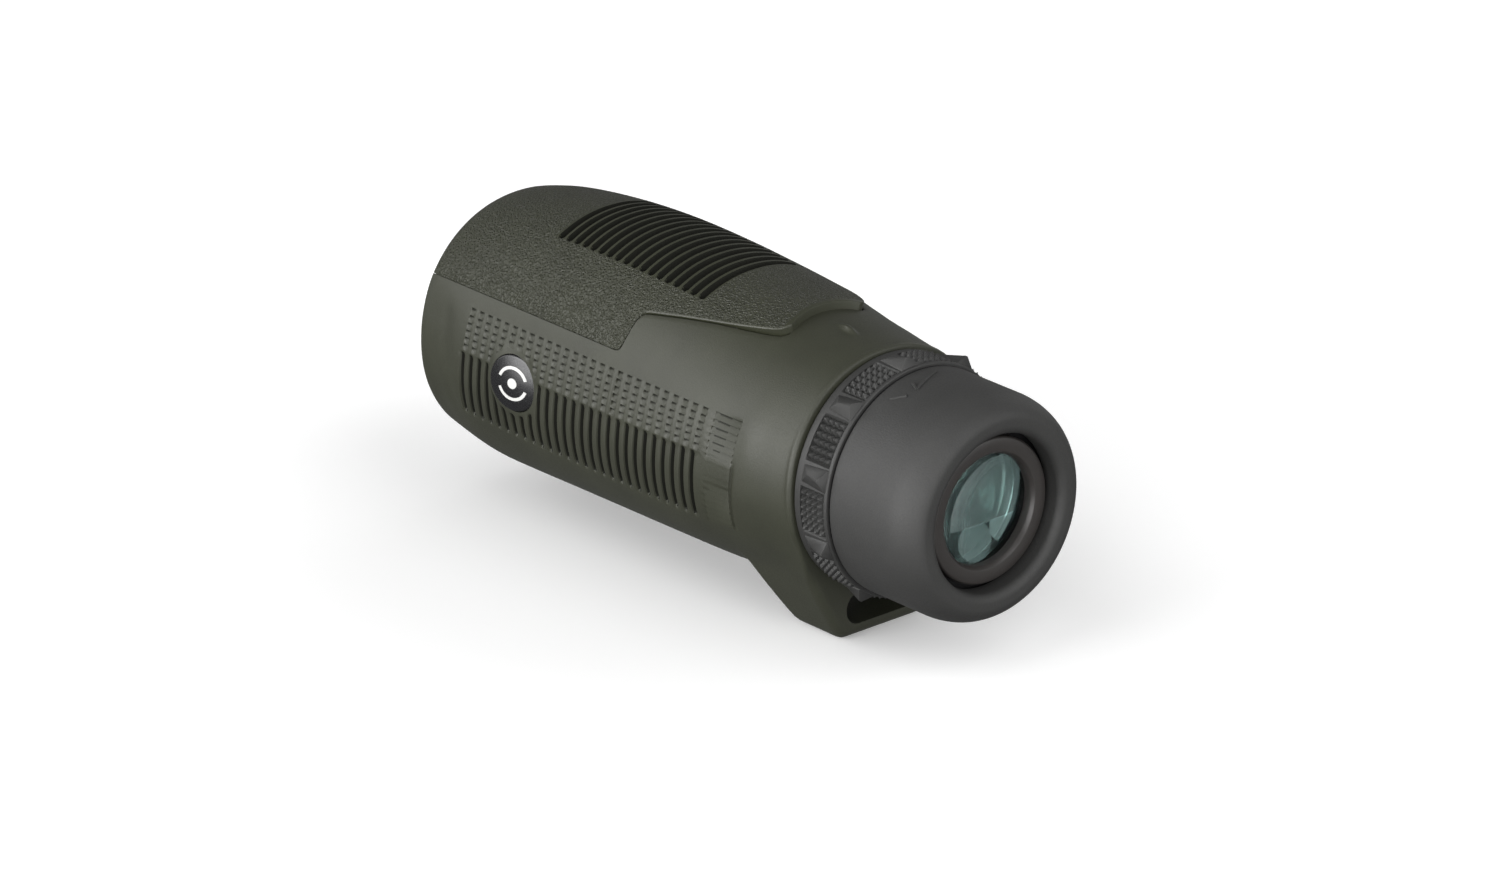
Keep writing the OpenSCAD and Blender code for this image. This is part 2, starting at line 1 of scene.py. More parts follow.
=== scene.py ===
"""Looks of a roof-prism monocular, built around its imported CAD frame.

Lengths are in millimetres until a mesh is made. The optical axis is Y: depth d behind the
objective rim lies at y = -d, and angles run round the axis from +Z (top), positive towards -X.
"""
import json
import math
import bmesh
import bpy
import numpy as np
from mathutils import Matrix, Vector


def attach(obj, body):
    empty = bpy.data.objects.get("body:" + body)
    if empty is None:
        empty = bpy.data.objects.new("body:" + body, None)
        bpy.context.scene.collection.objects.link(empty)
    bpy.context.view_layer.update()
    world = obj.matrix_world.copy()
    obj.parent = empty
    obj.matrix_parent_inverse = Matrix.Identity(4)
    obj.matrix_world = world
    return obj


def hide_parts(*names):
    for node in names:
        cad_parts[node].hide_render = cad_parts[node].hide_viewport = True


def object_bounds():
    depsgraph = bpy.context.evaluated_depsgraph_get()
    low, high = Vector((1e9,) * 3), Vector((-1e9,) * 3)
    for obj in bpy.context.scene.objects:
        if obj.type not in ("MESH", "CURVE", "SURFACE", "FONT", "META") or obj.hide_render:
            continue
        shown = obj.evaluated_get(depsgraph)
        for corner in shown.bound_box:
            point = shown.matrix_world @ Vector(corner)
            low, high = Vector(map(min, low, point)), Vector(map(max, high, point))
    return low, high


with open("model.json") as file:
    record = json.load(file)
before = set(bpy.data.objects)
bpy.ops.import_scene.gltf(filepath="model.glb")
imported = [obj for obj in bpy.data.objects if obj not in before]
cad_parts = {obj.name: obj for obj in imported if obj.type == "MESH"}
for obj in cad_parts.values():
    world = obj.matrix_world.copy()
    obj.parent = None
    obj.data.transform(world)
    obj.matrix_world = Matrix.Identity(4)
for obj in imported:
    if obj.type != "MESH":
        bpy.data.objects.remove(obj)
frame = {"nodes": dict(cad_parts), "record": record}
cad_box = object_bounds()
MM = 0.001

# ---------- the body surface, close to the CAD source ----------
BODY_LEN = 95.7
SECTION_POWER = 2.1
TOP_LINE = [(0, 22.6), (3, 23.5), (8, 24.7), (16, 25.9), (26, 26.85), (36, 27.2), (48, 26.9),
            (60, 26.1), (72, 25.1), (80, 24.35), (95.7, 22.3)]
SHOULDER_LINE = [(0, 22.6), (3, 23.5), (8, 24.7), (16, 25.9), (26, 26.85), (36, 27.2), (48, 26.9),
                 (60, 26.05), (68, 25.2), (74, 24.1), (80, 22.95), (84, 22.4), (88, 21.95),
                 (95.7, 21.1)]
SIDE_LINE = [(0, 22.6), (3, 23.3), (8, 24.0), (16, 24.4), (36, 24.6), (60, 24.4), (72, 23.9),
             (80, 23.2), (88, 22.2), (95.7, 21.1)]
BOTTOM_LINE = [(0, 21.8), (3, 22.2), (6, 22.7), (9, 23.2), (12, 23.6), (16, 23.75), (36, 23.4),
               (60, 23.2), (74, 23.1), (82, 22.5), (88, 21.9), (95.7, 21.1)]
# the top panel's edge as (depth, angle): straight, a rounded step up towards the top, then on
# in to the rear corner
SEAM = [(0, 58), (51.1, 58), (51.6, 57.85), (52.0, 57.5), (52.3, 56.9), (52.52, 56), (52.68, 54.8),
        (52.8, 53.4), (53.12, 46), (53.26, 43.8), (53.5, 42.2), (53.9, 41.1), (54.6, 40.3),
        (58, 38.4), (64.5, 34.7), (70, 31.5), (74, 29.0), (77, 26.7), (78.4, 25.4), (79.3, 24.4),
        (80.0, 23.2), (80.5, 21.7), (80.75, 20.4), (80.9, 19)]
PANEL_END = 80.85       # depth of the top panel's rear corners
SEAM_STEP_END = 54      # depth behind which the seam runs in to the rear corner
PANEL_BOW = 1.1         # how far the middle of its rear edge lies in front of them
SEAM_R = 25             # radius at which widths along the seam are turned into angles
CHASSIS_GAP = 0.15
RECESS = 1.35           # height of the recess floor above the chassis


def curve(stations, x):
    """Smooth line through its stations."""
    k, v = np.array(stations, float).T
    i = np.arange(len(k))
    lo, hi = np.maximum(i - 1, 0), np.minimum(i + 1, len(k) - 1)
    m = (v[hi] - v[lo]) / (k[hi] - k[lo])
    x = np.clip(x, k[0], k[-1])
    i = np.clip(np.searchsorted(k, x) - 1, 0, len(k) - 2)
    h = k[i + 1] - k[i]
    s = (x - k[i]) / h
    return (v[i] * (1 + 2 * s) * (1 - s) ** 2 + v[i + 1] * s * s * (3 - 2 * s)
            + m[i] * h * s * (1 - s) ** 2 - m[i + 1] * h * s * s * (1 - s))


def smooth(x, lo=0.0, hi=1.0):
    """0 below lo, 1 above hi, smooth between."""
    t = np.clip((x - lo) / (hi - lo), 0, 1)
    return t * t * (3 - 2 * t)


def smooth_min(a, b, k):
    """The smaller of two, blended where they are closer than k."""
    h = np.maximum(k - np.abs(a - b), 0) / k
    return np.minimum(a, b) - h * h * k / 4


def smooth_max(a, b, k):
    return -smooth_min(-a, -b, k)


def section(a, half_width, half_height):
    """Radius at angle a of a rounded section."""
    s, c = np.abs(np.sin(np.radians(a))), np.abs(np.cos(np.radians(a)))
    return ((s / half_width) ** SECTION_POWER + (c / half_height) ** SECTION_POWER) ** (
        -1 / SECTION_POWER)


def body_r(d, a, top):
    """Radius of the body, without relief, with the given line along its top."""
    upper = np.cos(np.radians(a)) >= 0
    return section(a, curve(SIDE_LINE, d), np.where(upper, curve(top, d), curve(BOTTOM_LINE, d)))


def chassis_r(d, a):
    """Radius of the casting under the armour, which narrows to a cone at the rear."""
    upper = np.cos(np.radians(a)) >= 0
    middle = section(a, 21.9, np.where(upper, 23.0, 21.2))
    cone = 19.4 + 1.6 * np.clip((84 - d) / 12, 0, 1)
    front = 20.6 + (middle - 20.6) * np.clip((d - 12) / 2, 0, 1)
    return np.where(d < 72, front, np.where(d < 74, middle + (cone - middle) * (d - 72) / 2, cone))


def corner(x, r):
    """Drop of an edge rounded with radius r, at distance x from the edge."""
    t = np.clip(1 - x / r, 0, 1)
    return r * (1 - np.sqrt(np.maximum(1 - t * t, 0)))


def seam(d):
    """Angle of the top panel's edge at depth d."""
    return np.interp(d, *np.array(SEAM, float).T)


def xyz(r, d, a):
    """Points in metres from radius, depth and angle."""
    r, d, a = np.broadcast_arrays(r, d, np.radians(a))
    return np.stack([-r * np.sin(a), -d, r * np.cos(a)], -1) * MM


# ---------- mesh helpers ----------
def new_object(name, mesh):
    obj = bpy.data.objects.new(name, mesh)
    bpy.context.scene.collection.objects.link(obj)
    return obj


def tidy_mesh(mesh, sharp):
    """Merges doubles, turns faces outwards and shades smooth up to the sharp angle."""
    bm = bmesh.new()
    bm.from_mesh(mesh)
    bmesh.ops.remove_doubles(bm, verts=bm.verts, dist=1e-7)
    bmesh.ops.recalc_face_normals(bm, faces=bm.faces)
    bm.to_mesh(mesh)
    bm.free()
    mesh.shade_smooth()
    mesh.set_sharp_from_angle(angle=math.radians(sharp))


def grid(name, points, wrap_rows=True, wrap_cols=True, caps=False, sharp=45):
    """A mesh from a grid of points. Either way round may close on itself."""
    rows, cols = points.shape[:2]
    i = np.arange(rows if wrap_rows else rows - 1)[:, None]
    j = np.arange(cols if wrap_cols else cols - 1)[None, :]
    i2, j2 = (i + 1) % rows, (j + 1) % cols
    quads = np.stack(np.broadcast_arrays(i * cols + j, i * cols + j2, i2 * cols + j2,
                                         i2 * cols + j), -1).reshape(-1, 4)
    faces = [tuple(q) for q in quads.tolist()]
    if caps:                             # strips across the first and the last row
        last = (rows - 1) * cols
        for k in range(cols // 2 - 1):
            strip = (k, k + 1, cols - 2 - k, cols - 1 - k)
            faces += [strip, tuple(last + v for v in strip[::-1])]
    mesh = bpy.data.meshes.new(name)
    mesh.from_pydata(points.reshape(-1, 3).tolist(), [], faces)
    tidy_mesh(mesh, sharp)
    return new_object(name, mesh)


def turned(name, profile, segments=256, sharp=30):
    """A turned solid from a closed outline of (radius, depth)."""
    r, d = np.array(profile, float).T
    a = np.arange(segments) * 360 / segments
    return grid(name, xyz(r[:, None], d[:, None], a[None, :]), sharp=sharp)


def arc(cr, cd, a, b, t0, t1, n):
    """Points (radius, depth) on an ellipse round (cr, cd)."""
    t = np.radians(np.linspace(t0, t1, n + 1))
    return [(cr + a * math.cos(x), cd + b * math.sin(x)) for x in t]


def outline(name, corners, lo, hi, place):
    """A prism: corners in the plane, extruded from lo to hi, each point put in place."""
    n = len(corners)
    points = [place(x, y, z) for z in (lo, hi) for x, y in corners]
    faces = [tuple(range(n))[::-1], tuple(range(n, 2 * n))]
    faces += [(k, (k + 1) % n, n + (k + 1) % n, n + k) for k in range(n)]
    mesh = bpy.data.meshes.new(name)
    mesh.from_pydata(points, [], faces)
    tidy_mesh(mesh, 30)
    return new_object(name, mesh)


def combine(obj, others, operation):
    """Adds the others to obj or cuts them from it, and removes them."""
    for other in others:
        mod = obj.modifiers.new("cut", "BOOLEAN")
        mod.operation, mod.object, mod.solver = operation, other, "MANIFOLD"
    made = bpy.data.meshes.new_from_object(
        obj.evaluated_get(bpy.context.evaluated_depsgraph_get()))
    obj.modifiers.clear()
    obj.data = made
    for other in others:
        bpy.data.objects.remove(other)
    return obj


def join(name, objects):
    """Joins the objects into the first one."""
    bpy.ops.object.select_all(action="DESELECT")
    for o in objects:
        o.select_set(True)
    bpy.context.view_layer.objects.active = objects[0]
    bpy.ops.object.join()
    objects[0].name = objects[0].data.name = name
    return objects[0]


def rounded_box(half_w, z0, z1, r, n=8):
    """Corners of a rounded rectangle, centred on x = 0 and between heights z0 and z1."""
    out = []
    for sx, z, start in ((1, z1 - r, 0), (-1, z1 - r, 90), (-1, z0 + r, 180), (1, z0 + r, 270)):
        for k in range(n + 1):
            t = math.radians(start + 90 * k / n)
            out.append((sx * (half_w - r) + r * math.cos(t), z + r * math.sin(t)))
    return out


# ---------- side armour ----------
PITCH, COLUMNS, FIRST = 2.3, 27, 14.6       # grip columns: spacing, number, depth of the first
CELL, CELL_FIRST, CELL_ROWS = 3.05, 64.7, 6  # grip cells: spacing and first, in degrees
CELLS_ALL = 17          # grip cells down the whole hatch band
DASH_DEPTH, GROOVE_DEPTH, GROOVE_WIDTH = 0.45, 0.85, 0.13   # width as a share of a column
RIB_TOP = 83.3          # angle at which the dashes end and the ribs begin
HATCH = (77.5, 83.4)
BADGE_D, BADGE_A, BADGE_R = 28.0, 87.5, 5.1
SIDE_R = 24.5           # radius of the body's side at the badge
LUG_FOOT = 29.4
LUG_FRONT = [(70, 21.0), (77.6, 23.0), (79.6, 25.0), (81.6, 27.4), (84.4, 31.0), (88, 35.0),
             (95.7, 36.0)]


def cell_ramp(a):
    """The grip cell that angle a is in, and the ramp of its floor."""
    cell = (a - CELL_FIRST) / CELL
    u = cell - np.floor(cell)
    return cell, np.where(u < 0.02, 0, 1 - u)


def lean(a):
    """How far the grip's columns lean towards the objective, down the side."""
    down = 2.1 * np.clip((a - 65) / 51, 0, 1) ** 1.2
    return down * (1 - smooth(a, 116, 136))


def badge_distance(d, a):
    """Distance from the badge's centre, along the surface."""
    return np.hypot(d - BADGE_D, np.radians(a - BADGE_A) * SIDE_R)


def grip_relief(t, a):
    """Height of the grip pattern at row depth t and angle a."""
    c = (t - FIRST) / PITCH
    inside = (c > -0.2) & (c < COLUMNS - 0.2)
    x = (c + 0.2) % 1 - 0.2                        # place within a column, 0 at its groove
    cell, ramp = cell_ramp(a)
    pocket = (x > 0.05) & (x < 0.54) & (cell >= 0) & (cell < CELL_ROWS)
    dash = -DASH_DEPTH * ramp * pocket
    bead = 0.04 * ((x > 0.57) & (x < 0.79)) * smooth(a, 64.2, 65) * (1 - smooth(a, 83, 85))
    groove = np.exp(-(x / GROOVE_WIDTH) ** 2)
    crown = 0.12 * np.sin(np.pi * np.clip(x, 0, 1)) - 0.14
    low = 113.5 + 2.5 * np.clip(c / COLUMNS, 0, 1)
    rib = crown - GROOVE_DEPTH * groove
    rib = rib * smooth(a, RIB_TOP, RIB_TOP + 1.6) * (1 - smooth(a, low - 3, low))
    return np.where(inside, dash + bead + rib, 0)


def hatch_relief(t, a):
    """Height of the raised band of teeth that ends the grip."""
    cell, ramp = cell_ramp(a)
    along = np.clip((t - HATCH[0]) / (HATCH[1] - HATCH[0]), 0, 1)
    deep = 0.50 * (1 - smooth(a, 80, 87)) + 0.24 * smooth(a, 90, 104)
    on = smooth(a, 63.8, 64.7) * (1 - smooth(a, 115.6, 116.6))
    raised = 0.24 * along ** 1.4 * on
    teeth = -deep * ramp * (cell >= 0) * (cell < CELLS_ALL) * (0.45 + 0.55 * along)
    inside = (t > HATCH[0]) & (t < HATCH[1])
    crease = -0.22 * np.exp(-((t - HATCH[1] - 0.22) / 0.2) ** 2) * on * smooth(a, 80, 88)
    return np.where(inside, raised + teeth, 0) + crease


def badge_relief(d, a):
    """The smooth collar that rises round the front of the badge."""
    rho = badge_distance(d, a)
    ahead = np.clip((BADGE_D - d) / BADGE_R, -1, 1)
    rise = 0.62 * smooth(ahead, -0.2, 1) - 0.25 * smooth(-ahead, 0, 1)
    return rise * np.exp(-(np.maximum(rho - 5.3, 0) / 1.5) ** 2)


def lug_r(d, a):
    """Radius of the strap lug: a flat foot, two sloping sides and a ramp in front."""
    phi = np.clip(180 - a, 0, 85)
    s, c = np.sin(np.radians(phi)), np.cos(np.radians(phi))
    bulge = 0.4 * np.sin(np.pi * np.clip((phi - 16.8) / 45, 0, 1))
    side = (21.9 + bulge) / (0.885 * s + 0.466 * c)
    side = np.where(phi < 50, side, 22.7 - 0.13 * (phi - 50))
    r = smooth_min(smooth_min(LUG_FOOT / c, side, 1.6), curve(LUG_FRONT, d), 1.2)
    return np.where(d > 70, r, 0)


INDEX_D = 87            # depth of the index bump on the neck


def armor_r(t, d, a, sign):
    """Radius of the side armour at row depth t, depth d and angle a, on one side."""
    r = body_r(d, a, SHOULDER_LINE)
    r = smooth_max(r, lug_r(d, a), 1.0)
    valley = 0.4 * np.exp(-((d - 5) / 4) ** 2) * (1 - smooth(a, 115, 140))
    step = 0.25 * np.exp(-((d - 8.2 - 0.03 * (a - 70)) / 1.4) ** 2) * (1 - smooth(a, 100, 130))
    r = r - (valley + step) * smooth(a, 60, 75)
    ridge = 0.28 * np.exp(-((d - 85.6) / 2.1) ** 2 - ((a - 64) / 17) ** 2)
    r = r + ridge
    pattern = grip_relief(t, a) + hatch_relief(t, a)
    if sign > 0:
        pattern = pattern * smooth(badge_distance(d, a), 5.9, 6.5) + badge_relief(d, a)
    r = r + pattern
    bump_length = 2.5 - 0.4 * np.sign(d - INDEX_D)
    bump = 0.75 * smooth(1 - np.hypot((d - INDEX_D) / bump_length, (a * sign - 1) / 2.4), 0, 0.7)
    bead = 0.16 * np.exp(-((d - 95.0) / 0.45) ** 2) * (1 - smooth(a, 105, 122))
    edge = 0.4 + 1.5 * smooth(a, 124, 142)
    return r + bump + bead - corner(d, 0.8) - corner(BODY_LEN - d, edge)


def merged_rows(*groups):
    """All the groups' depths in order, leaving out those closer than 0.055 mm."""
    out = []
    for t in sorted(x for g in groups for x in g):
        if not out or t - out[-1] > 0.055:
            out.append(t)
    return out


# depths of the rows of points, closer together where the shape turns
STEP_ROWS = [51.1, 51.4, 51.65, 51.85, 52.02, 52.2, 52.35, 52.45, 52.53, 52.64, 52.74, 52.84, 52.96,
             53.08, 53.18, 53.28, 53.4, 53.6, 53.9, 54.2]
END_ROWS = [78.3, 78.8, 79.3, 79.8, 80.1, 80.35, 80.55, 80.7, 80.8]
RIM_ROWS = [0, 0.08, 0.2, 0.4, 0.7, 1.1, 1.7, 2.5, 3.5, 4.6, 5.8, 7.0, 8.2, 9.4, 10.6, 11.8, 13.0,
            13.9]
# places of the rows within a grip column
GRIP_SPOTS = (-0.17, -0.06, 0.04, 0.13, 0.3, 0.52, 0.58, 0.77)
REAR_ROWS = [77.42, 77.52, 77.8, 80.88, 80.98, 81.2, 81.5, 81.8, 82.2, 82.6, 83.1, 83.36, 83.46,
             83.6, 83.8, 84.1, 84.6, 85.3, 86.1, 86.9, 87.7, 88.5, 89.4, 90.4, 91.4, 92.4, 93.4,
             93.8, 94.2, 94.5, 94.75, 95.0, 95.2, 95.38, 95.52, 95.62, 95.67, BODY_LEN]
INNER_ROWS = (84.3, 79, 74.2, 71.9, 67, 62, 57, 52, 47, 42, 25, 14, 12)
FRONT_LIP = ((20.75, 2.0), (19.9, 1.9), (19.9, 0.35), (20.1, 0.08), (20.3, 0))   # radius, depth
NECK_BORE = 19.55


def edge_share(t):
    """How rounded the seam's edges are: sharp along the front, soft behind the step."""
    return 0.12 + 0.88 * smooth(t, 51, SEAM_STEP_END)


def seam_gap(t):
    """Half of the seam's width, tighter along the front."""
    return 0.035 + 0.055 * smooth(t, 51, SEAM_STEP_END)


def side_angles(t):
    """Angles of one half's columns at row depth t, and how many lie under the top panel."""
    under = np.array([0, 0.05, 0.1, 0.15, 0.21, 0.28, 0.36, 0.45, 0.55, 0.65, 0.75, 0.85, 0.93, 1])
    edge = float(seam(t - seam_gap(t))) + math.degrees(seam_gap(t) / SEAM_R)
    near = edge + np.degrees(np.array([0.02, 0.1, 0.3]) / SEAM_R)
    far = near[-1] + (62 - near[-1]) * np.array([0.08, 0.16, 0.26, 0.36, 0.47, 0.58, 0.69, 0.8,
                                                 0.9, 1])
    cells = []
    for k in range(CELLS_ALL):
        spots = (0, 0.07, 0.3, 0.6, 0.85) if k < 7 else (0, 0.08, 0.36, 0.7)
        cells += [CELL_FIRST + CELL * (k + s) for s in spots]
    low = [CELL_FIRST + CELL * CELLS_ALL, 118, 120, 123, 126, 129, 132]
    below = np.arange(133.6, 180.01, 1.6)
    return np.concatenate([under * edge, near, far, [63.2, 64.2], cells, low, below]), len(under)


def side_row(t, sign, end=None):
    """One row of points of one half, from the top to the bottom."""
    a, under = side_angles(t)
    hold = smooth(t, 2, 12) * (1 - smooth(t, 86, 93))
    d = t - lean(a) * hold
    share = np.zeros_like(a)
    share[:under] = (a[:under] / a[under - 1]) ** 2
    share[under:] = 1
    d = d - PANEL_BOW * (1 - share) * smooth(t, 74, 81) * (1 - smooth(t, 81.6, 86.5))
    if t == 0:
        d[:] = 0
    if t == BODY_LEN:
        d[:] = BODY_LEN
    r = armor_r(t, d, a, sign)
    edge_x = np.radians(a[under:under + 3] - a[under - 1]) * SEAM_R
    if t < PANEL_END:
        r[under:under + 3] -= corner(edge_x, 0.3) * edge_share(t)
        r[:under] = chassis_r(d[:under], a[:under]) + RECESS
    return r, d, a


def side_loop_rows():
    grip = [FIRST + PITCH * (c + s) for c in range(COLUMNS) for s in GRIP_SPOTS]
    return merged_rows(RIM_ROWS, grip, STEP_ROWS, END_ROWS, REAR_ROWS)


def side_half(sign):
    """Rows of one half: over the outside, round the rear edge and back along the inside."""
    rows = [side_row(t, sign) for t in side_loop_rows()]
    out = [xyz(r, d, sign * a) for r, d, a in rows]
    front, rear = rows[0][2], rows[-1][2]
    out.append(xyz(NECK_BORE, BODY_LEN, sign * rear))
    for d in INNER_ROWS:
        w = smooth(d, 42, 80)
        a = front * (1 - w) + rear * w
        out.append(xyz(chassis_r(np.full_like(a, d), a) + CHASSIS_GAP, d, sign * a))
    for r, d in FRONT_LIP:
        out.append(xyz(r, d, sign * front))
    return np.array(out)


def make_side_armor():
    left, right = side_half(1), side_half(-1)
    points = np.concatenate([left, right[:, -2:0:-1]], axis=1)
    obj = grid("armor_shell", points, sharp=40)
    slot = outline("slot_cut", rounded_box(8.4, -27.0, -21.2, 2.8, 12), 77, 98,
                   lambda x, z, d: (x * MM, -d * MM, z * MM))
    seat_r = BADGE_R + 0.12
    disc = [(seat_r * math.cos(t), seat_r * math.sin(t))
            for t in np.linspace(0, 2 * math.pi, 128, endpoint=False)]
    recess = outline("badge_cut", disc, 22.9, 30, badge_place)
    combine(obj, [slot, recess], "DIFFERENCE")
    tidy_mesh(obj.data, 40)
    return obj


def mark_grip_faces(armor):
    """Gives the bottoms of the grip's grooves and dashes a duller finish and a darker colour, which
    is painted shade in these recesses.
    """
    armor.data.materials.append(MATERIALS["groove_painted_shade"])
    armor.data.materials.append(MATERIALS["pit_painted_shade"])
    faces = armor.data.polygons
    centre = np.empty(len(faces) * 3)
    faces.foreach_get("center", centre)
    x, y, z = centre.reshape(-1, 3).T / MM
    angle, d, r = np.degrees(np.arctan2(-x, z)), -y, np.hypot(x, z)
    a = np.abs(angle)
    t = d + lean(a)
    relief = grip_relief(t, a)
    clear = ((angle < 0) | (badge_distance(d, a) > 6.1)) & (r > 21.5) & (a > 63) & (a < 120)
    # painted shade: the deepest faces of the rib grooves, dashes and hatch teeth get near-black
    # materials
    groove = clear & (relief < -0.32) & (a > RIB_TOP + 1)
    pit_shade_mask = clear & ~groove & ((relief < -0.28) | (hatch_relief(t, a) < -0.2))
    deep = groove + 2 * pit_shade_mask
    faces.foreach_set("material_index", deep.astype(np.int32))


def badge_place(along, up, r):
    """A point of the badge: along the axis and round it from the badge's centre, at height r."""
    a = math.radians(BADGE_A)
    out, round_ = Vector((-math.sin(a), 0, math.cos(a))), Vector((math.cos(a), 0, math.sin(a)))
    return (out * r + round_ * up + Vector((0, along - BADGE_D, 0))) * MM


# ---------- top panel ----------
RIBS, RIB_FIRST, RIB_PITCH, RIB_SPAN = 18, 25.7, 2.13, 25.6
RIB_HALF_WIDTH, RIB_DEPTH = 0.74, 1.35
PANEL_CORNER = 0.36
RIB_SPOTS = (-0.37, -0.33, -0.25, -0.13, 0, 0.13, 0.25, 0.33, 0.37, 0.42, 0.5, 0.58)
PANEL_ROWS = [14.5, 16, 18, 20, 22, 23.6, 24.5, 63.2, 64.5, 66, 68, 70, 72, 74, 75.5, 76.5, 77.4]


def panel_relief(t, a):
    """The grip ribs: rounded grooves that end in a half circle."""
    k = np.clip(np.round((t - RIB_FIRST) / RIB_PITCH), 0, RIBS - 1)
    x = t - RIB_FIRST - k * RIB_PITCH
    past = np.maximum(np.abs(a) - RIB_SPAN + 0.9, 0) * 0.45
    rho = np.hypot(x, past) / RIB_HALF_WIDTH
    bed = -RIB_DEPTH * np.sqrt(np.clip(1 - rho ** 3, 0, 1))
    near = (np.abs(a) < RIB_SPAN + 2) & (t > RIB_FIRST - 1) & (t < RIB_FIRST + RIBS * RIB_PITCH)
    return np.where(near, bed, 0)


# angles of the panel's inner columns, closer together at the ends of its ribs
PANEL_COLUMNS = np.concatenate([np.arange(0, 20.1, 1.6), [21.5, 22.8, 23.6, 24.2, 24.7, 25.1, 25.5,
                                                          25.9, 26.4, 27.4]])


def panel_columns(t):
    """Angles of the panel's columns at row depth t, and its edge. They close up where it narrows."""
    edge = float(seam(t + seam_gap(t))) - math.degrees(seam_gap(t) / SEAM_R)
    inner = PANEL_COLUMNS * min(1, (edge - 3.0) / PANEL_COLUMNS[-1])
    rim = edge - np.degrees(np.array([0.6, 0.36, 0.2, 0.09, 0.03, 0.0]) / SEAM_R)
    gap = rim[0] - inner[-1]
    mid = inner[-1] + gap * np.linspace(0, 1, 13)[1:-1]
    half = np.concatenate([inner, mid, rim])
    return np.concatenate([-half[:0:-1], half]), edge


def panel_row(t, drop=0.0):
    """One row of the panel: its outside, then its underside on the way back."""
    a, edge = panel_columns(t)
    bow = PANEL_BOW * (1 - (a / edge) ** 2) * smooth(t, 74, 81)
    d = t - bow
    r = body_r(d, a, TOP_LINE) + panel_relief(t, a) + 0.2 * smooth(t, 68, 78)
    side_drop = corner(np.radians(edge - np.abs(a)) * SEAM_R, PANEL_CORNER) * edge_share(t)
    r -= side_drop + corner(PANEL_END - t, PANEL_CORNER)
    r -= corner(np.full_like(a, t), 0.8)
    under = chassis_r(d, a) + RECESS + CHASSIS_GAP
    r = np.maximum(r - drop, under + 0.05)
    return np.concatenate([xyz(r, d, a), xyz(under, d, a)[::-1]])


def make_top_armor():
    ribs = [RIB_FIRST + RIB_PITCH * (k + s) for k in range(RIBS) for s in RIB_SPOTS]
    rows = merged_rows(RIM_ROWS, ribs, PANEL_ROWS, STEP_ROWS, END_ROWS, [80.74, 80.8, PANEL_END])
    points = [panel_row(t) for t in rows]
    points += [panel_row(PANEL_END, x) for x in (0.25, 1.4)]
    return grid("armor_top_panel", np.array(points), wrap_rows=False, caps=True, sharp=30)


def mark_rib_faces(panel):
    """Gives the rib field and the rear edges a smooth finish, and the grooves a darker colour that
    is painted shade.
    """
    panel.data.materials.append(MATERIALS["armor_rib"])
    panel.data.materials.append(MATERIALS["groove_painted_shade"])
    end = RIB_FIRST + (RIBS - 0.5) * RIB_PITCH
    for face in panel.data.polygons:
        x, y, z = (v / MM for v in face.center)
        a = abs(math.degrees(math.atan2(x, z)))
        if RIB_FIRST - RIB_PITCH / 2 < -y < end and a < RIB_SPAN + 0.8 and z > 15:
            depth = body_r(-y, a, TOP_LINE) - math.hypot(x, z)
            # faces deeper than 0.25 mm take the painted groove shade
            face.material_index = 2 if depth > 0.25 else 1
        elif -y > SEAM_STEP_END:
            rear_edge = PANEL_END - PANEL_BOW * (1 - (a / SEAM[-1][1]) ** 2)
            if a > seam(-y) - 1.0 or -y > rear_edge - 0.7:
                face.material_index = 1


# ---------- badge ----------
BADGE_TILT, BADGE_DOME = math.radians(12.5), 30.0     # lean, and radius of its dome
BADGE_FACE, BADGE_BASE = 24.56, 22.95                 # heights above the axis
# the dome's rings: radius from its centre, and how far the edge falls there
BADGE_RINGS = [(r, 0) for r in (0.0, 0.4, 0.85, 1.3, 1.8, 2.3, 2.7, 3.1, 3.5, 3.9, 4.3, 4.6, 4.8)]
BADGE_RINGS += [(4.95, 0.03), (5.03, 0.1), (5.07, 0.22)]


def badge_height(along, rho_squared):
    """Height of the dome above the axis, at a place along it and a distance from its centre."""
    return BADGE_FACE + along * math.tan(BADGE_TILT) + 0.3 - rho_squared / (2 * BADGE_DOME)


def make_badge():
    """A lacquered dome that leans towards the eyepiece."""
    a = np.radians(np.arange(0, 360, 3))
    rows = []
    for r, fall in BADGE_RINGS:
        up, along = r * np.sin(a), r * np.cos(a)
        height = badge_height(along, r * r) - fall
        rows.append([badge_place(x, u, h) for x, u, h in zip(along, up, height)])
    edge = BADGE_RINGS[-1][0]
    rows.append([badge_place(x, u, BADGE_BASE) for x, u in zip(edge * np.cos(a), edge * np.sin(a))])
    rows.append([badge_place(0, 0, BADGE_BASE)] * len(a))
    return grid("badge_dome", np.array([[tuple(p) for p in row] for row in rows]),
                wrap_rows=False, sharp=50)


def badge_surface(along, up, lift):
    """A point of the mark, lifted from the dome."""
    return badge_place(along, up, badge_height(along, along ** 2 + up ** 2) + lift)


# the mark's bars: inner and outer radius, first angle and sweep
MARK_BARS = ((2.55, 3.15, 200, 140), (2.55, 3.15, 20, 140), (0.0, 0.95, 0, 360))


def make_badge_mark():
    """A generic mark: two concentric arcs and a dot."""
    bars = []
    for r0, r1, start, sweep in MARK_BARS:
        n = max(8, int(sweep / 6))
        t = np.radians(np.linspace(start, start + sweep, n + 1))
        ring = []
        for r, lift in ((r0, -0.05), (r0 + 0.02, 0.05), (r1 - 0.02, 0.05), (r1, -0.05)):
            r = max(r, 0.001)
            ring.append([tuple(badge_surface(r * math.cos(x), r * math.sin(x), lift)) for x in t])
        bars.append(grid("mark", np.array(ring), wrap_cols=False, sharp=40))
    return join("badge_mark", bars)


